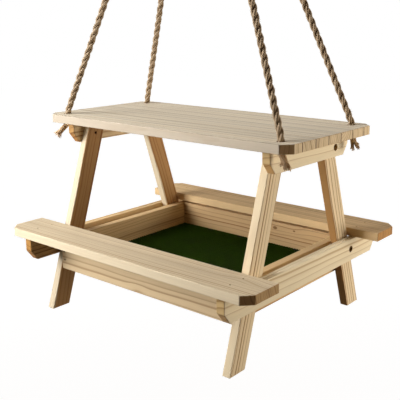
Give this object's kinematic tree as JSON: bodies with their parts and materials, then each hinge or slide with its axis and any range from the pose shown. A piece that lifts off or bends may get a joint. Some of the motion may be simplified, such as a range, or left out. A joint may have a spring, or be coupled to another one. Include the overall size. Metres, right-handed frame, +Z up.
{
  "type": "platform bird feeder",
  "caption": "Hanging platform bird feeder in the shape of a picnic table: pine top on slanted legs, two benches and a screen-floored seed tray, hung by jute ropes from a steel ring.",
  "frame": {"origin": "the point inside the top of the hanging ring where a hook bears", "axes": "+X along the benches to the right, -Y to the front, +Z up"},
  "size_m": [0.444, 0.3556, 0.911],
  "materials": {
    "pine_boards": "planed bare pine, matt",
    "pine_battens": "sawn bare pine, matt",
    "green_screen": "woven wire, dark green coating",
    "dark_steel": "phosphated, near black",
    "ring_steel": "welded and galvanised",
    "jute_rope": "three-strand laid jute",
    "jute_twine": "single-ply jute"
  },
  "bodies": {
    "ring": {"hanging_ring": "ring_steel"},
    "feeder": {"table_top": "pine_boards", "top_cleat_left": "pine_boards", "top_cleat_right": "pine_boards", "leg_front_left": "pine_boards", "leg_front_right": "pine_boards", "leg_back_left": "pine_boards", "leg_back_right": "pine_boards", "cross_brace_left": "pine_boards", "cross_brace_right": "pine_boards", "bench_front": "pine_boards", "bench_back": "pine_boards", "tray_side_front": "pine_boards", "tray_side_back": "pine_boards", "tray_end_left": "pine_boards", "tray_end_right": "pine_boards", "batten_front": "pine_battens", "batten_back": "pine_battens", "batten_left": "pine_battens", "batten_right": "pine_battens", "tray_screen": "green_screen", "cleat_screws": "dark_steel", "brace_screws": "dark_steel", "top_screws": "dark_steel", "bench_nails": "dark_steel", "tray_nails": "dark_steel", "batten_brads": "dark_steel", "screen_staples": "dark_steel", "twine_seizing": "jute_twine", "rope_front_left": "jute_rope", "rope_front_right": "jute_rope", "rope_back_left": "jute_rope", "rope_back_right": "jute_rope", "knot_front_left": "jute_rope", "knot_front_right": "jute_rope", "knot_back_left": "jute_rope", "knot_back_right": "jute_rope"}
  },
  "joints": [
    {"name": "swing", "type": "hinge", "parent": "ring", "child": "feeder", "pos_m": [0, 0, -0.057], "axis": [1, 0, 0], "range_deg": [-40, 40]}
  ]
}
